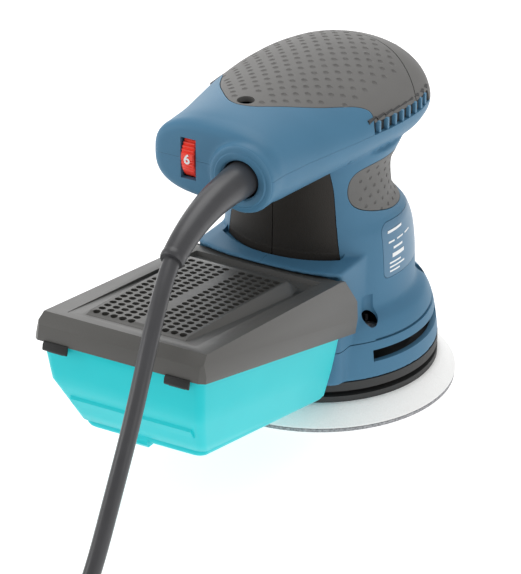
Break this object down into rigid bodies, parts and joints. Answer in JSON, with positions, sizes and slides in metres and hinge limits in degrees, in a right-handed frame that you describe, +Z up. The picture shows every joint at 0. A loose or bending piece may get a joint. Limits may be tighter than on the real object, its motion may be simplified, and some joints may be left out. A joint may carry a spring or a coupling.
{
  "type": "orbital sander",
  "caption": "Palm-grip random orbital sander with round pad, eccentric drive, speed thumbwheel, rocker switch, clip-on dust box and mains lead.",
  "frame": {"origin": "centre of the sanding face, on the pad's own axis", "axes": "+X the tool's right, +Y its front, +Z up along the motor axis"},
  "size_m": [0.147, 0.46, 0.1597],
  "materials": {
    "blue_plastic": "fine grained moulded plastic, mid blue",
    "grip_rubber": "soft matt rubber, dark grey",
    "dark_plastic": "fine grained moulded plastic, near black",
    "seal_rubber": "matt rubber, black",
    "lead_rubber": "smooth rubber with a soft gloss, black",
    "red_plastic": "moulded plastic, red",
    "turquoise_clear": "see-through moulded plastic, turquoise",
    "label_film": "printed film, blank, blue",
    "white_foam": "fine celled foam, white",
    "hook_fabric": "woven hook fabric, grey",
    "filter_paper": "pleated paper, cream",
    "zinc_steel": "zinc plated steel",
    "plug_brass": "nickel plated brass",
    "bearing_steel": "ground steel",
    "cast_alloy": "die cast light alloy",
    "core_steel": "stacked sheet steel",
    "copper": "enamelled copper",
    "carbon": "pressed carbon",
    "fan_plastic": "glass filled plastic, black",
    "circuit_board": "lacquered circuit board, green"
  },
  "bodies": {
    "housing": {"bearing_bracket": "cast_alloy", "bearing_plate": "cast_alloy", "bend_protector": "lead_rubber", "brush_holders": "dark_plastic", "brush_springs": "zinc_steel", "carbon_brushes": "carbon", "cord_clamp": "dark_plastic", "cover_screws": "zinc_steel", "dial_potentiometer": "dark_plastic", "dust_spigot": "dark_plastic", "field_coils": "copper", "head_cover": "blue_plastic", "housing_left": "blue_plastic", "housing_right": "blue_plastic", "lower_bearing_outer": "bearing_steel", "mains_cord": "lead_rubber", "mains_cord_coil": "lead_rubber", "mains_cord_tail": "lead_rubber", "neck_panel_left": "grip_rubber", "neck_panel_right": "grip_rubber", "pad_brake": "seal_rubber", "plug_body": "lead_rubber", "plug_pins": "plug_brass", "rating_plate": "label_film", "side_grip_left": "grip_rubber", "side_grip_right": "grip_rubber", "skirt": "blue_plastic", "skirt_ring": "dark_plastic", "skirt_screws": "zinc_steel", "soft_grip": "grip_rubber", "speed_board": "circuit_board", "stator_core": "core_steel", "switch_body": "dark_plastic", "upper_bearing_outer": "bearing_steel"},
    "rotor": {"motor_shaft": "bearing_steel", "armature_core": "core_steel", "armature_winding": "copper", "commutator": "copper", "fan": "fan_plastic", "eccentric_hub": "cast_alloy", "upper_bearing_inner": "bearing_steel", "upper_bearing_balls": "bearing_steel", "lower_bearing_inner": "bearing_steel", "lower_bearing_balls": "bearing_steel", "pad_bearing_outer": "bearing_steel", "pad_bearing_balls": "bearing_steel"},
    "pad": {"hook_face": "hook_fabric", "pad_foam": "white_foam", "backing_plate": "dark_plastic", "pad_spindle": "cast_alloy", "pad_screws": "zinc_steel", "spindle_nut": "zinc_steel", "pad_bearing_inner": "bearing_steel"},
    "dial": {"speed_dial": "red_plastic"},
    "rocker": {"power_rocker": "dark_plastic"},
    "dust_box": {"dust_bin": "turquoise_clear", "dust_lid": "dark_plastic", "filter_element": "filter_paper", "inlet_seal": "seal_rubber", "bin_latches": "dark_plastic"}
  },
  "joints": [
    {"name": "motor_spin", "type": "hinge", "parent": "housing", "child": "rotor", "pos_m": [0, -0.00125, 0.06], "axis": [0, 0, 1], "continuous": true},
    {"name": "pad_spin", "type": "hinge", "parent": "rotor", "child": "pad", "pos_m": [0, 0, 0.024], "axis": [0, 0, 1], "continuous": true},
    {"name": "dial_turn", "type": "hinge", "parent": "housing", "child": "dial", "pos_m": [-0.0122, -0.0817, 0.14], "axis": [1, 0, 0], "range_deg": [0, 270]},
    {"name": "rocker_press", "type": "hinge", "parent": "housing", "child": "rocker", "pos_m": [0, 0.0505, 0.1278], "axis": [1, 0, 0], "range_deg": [0, 12]},
    {"name": "dust_box_slide", "type": "slide", "parent": "housing", "child": "dust_box", "axis": [0, -0.9744, 0.225], "range_m": [0, 0.012]}
  ]
}
